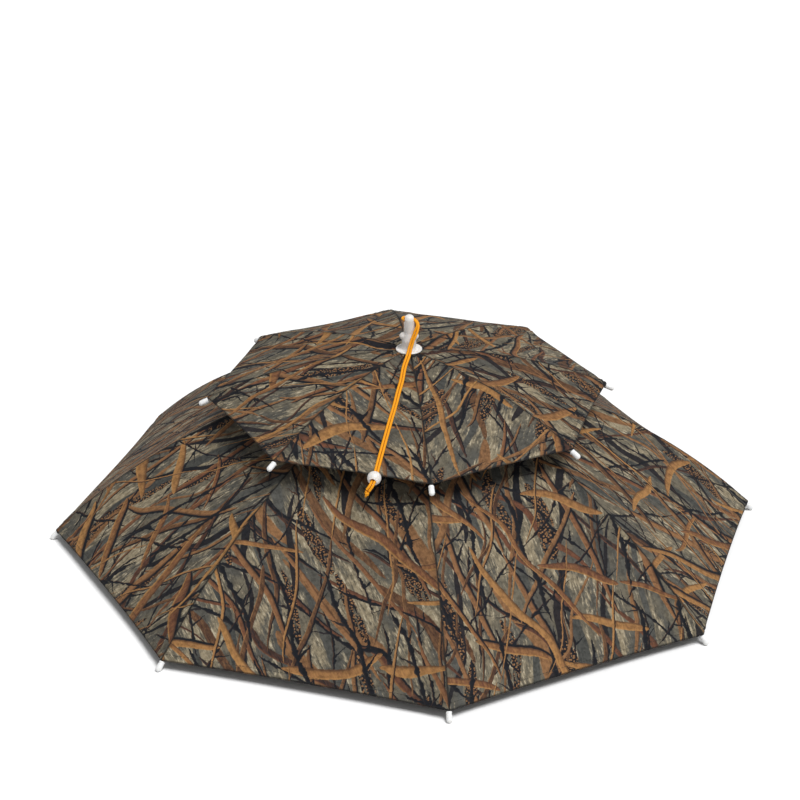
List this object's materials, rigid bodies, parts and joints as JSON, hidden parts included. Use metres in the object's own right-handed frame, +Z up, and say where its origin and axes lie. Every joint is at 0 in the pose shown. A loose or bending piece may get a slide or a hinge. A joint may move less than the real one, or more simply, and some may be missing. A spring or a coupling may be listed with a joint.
{
  "type": "umbrella hat",
  "caption": "Hands-free two-tier vented umbrella hat with camouflage cloth canopies, folding ribs, a headband and a beaded pull cord.",
  "frame": {"origin": "on the ground below the crown, midway between the lower rib tips", "axes": "+Z up through the finial; the first rib lies along +X, and the bead's side faces -Y"},
  "size_m": [0.7836, 0.7836, 0.2538],
  "materials": {
    "lower_cloth": "woven polyester printed with blades, twigs and mottles",
    "upper_cloth": "woven polyester printed with blades, twigs and mottles",
    "rib_steel": "satin wire",
    "white_plastic": "moulded, satin",
    "tip_plastic": "moulded, satin",
    "milky_plastic": "translucent milky, satin",
    "bead_plastic": "translucent milky, polished",
    "elastic_band": "knitted elastic, ribbed",
    "strap_webbing": "woven webbing",
    "cord_elastic": "braided elastic"
  },
  "bodies": {
    "root": {"lower_canopy": "lower_cloth", "upper_canopy": "upper_cloth", "hub": "white_plastic", "runner": "white_plastic", "finial": "milky_plastic", "headband": "elastic_band", "long_rib_1": "rib_steel", "short_rib_1": "rib_steel", "stretcher_1": "rib_steel", "lower_tip_1": "tip_plastic", "upper_tip_1": "tip_plastic", "long_rib_2": "rib_steel", "short_rib_2": "rib_steel", "stretcher_2": "rib_steel", "lower_tip_2": "tip_plastic", "upper_tip_2": "tip_plastic", "long_rib_3": "rib_steel", "short_rib_3": "rib_steel", "stretcher_3": "rib_steel", "lower_tip_3": "tip_plastic", "upper_tip_3": "tip_plastic", "long_rib_4": "rib_steel", "short_rib_4": "rib_steel", "stretcher_4": "rib_steel", "lower_tip_4": "tip_plastic", "upper_tip_4": "tip_plastic", "long_rib_5": "rib_steel", "short_rib_5": "rib_steel", "stretcher_5": "rib_steel", "lower_tip_5": "tip_plastic", "upper_tip_5": "tip_plastic", "long_rib_6": "rib_steel", "short_rib_6": "rib_steel", "stretcher_6": "rib_steel", "lower_tip_6": "tip_plastic", "upper_tip_6": "tip_plastic", "long_rib_7": "rib_steel", "short_rib_7": "rib_steel", "stretcher_7": "rib_steel", "lower_tip_7": "tip_plastic", "upper_tip_7": "tip_plastic", "long_rib_8": "rib_steel", "short_rib_8": "rib_steel", "stretcher_8": "rib_steel", "lower_tip_8": "tip_plastic", "upper_tip_8": "tip_plastic", "band_strap_1": "strap_webbing", "band_strap_2": "strap_webbing", "band_strap_3": "strap_webbing", "band_strap_4": "strap_webbing", "cord_right": "cord_elastic", "cord_left": "cord_elastic", "cord_bead": "bead_plastic", "cord_knot": "cord_elastic"}
  },
  "joints": []
}
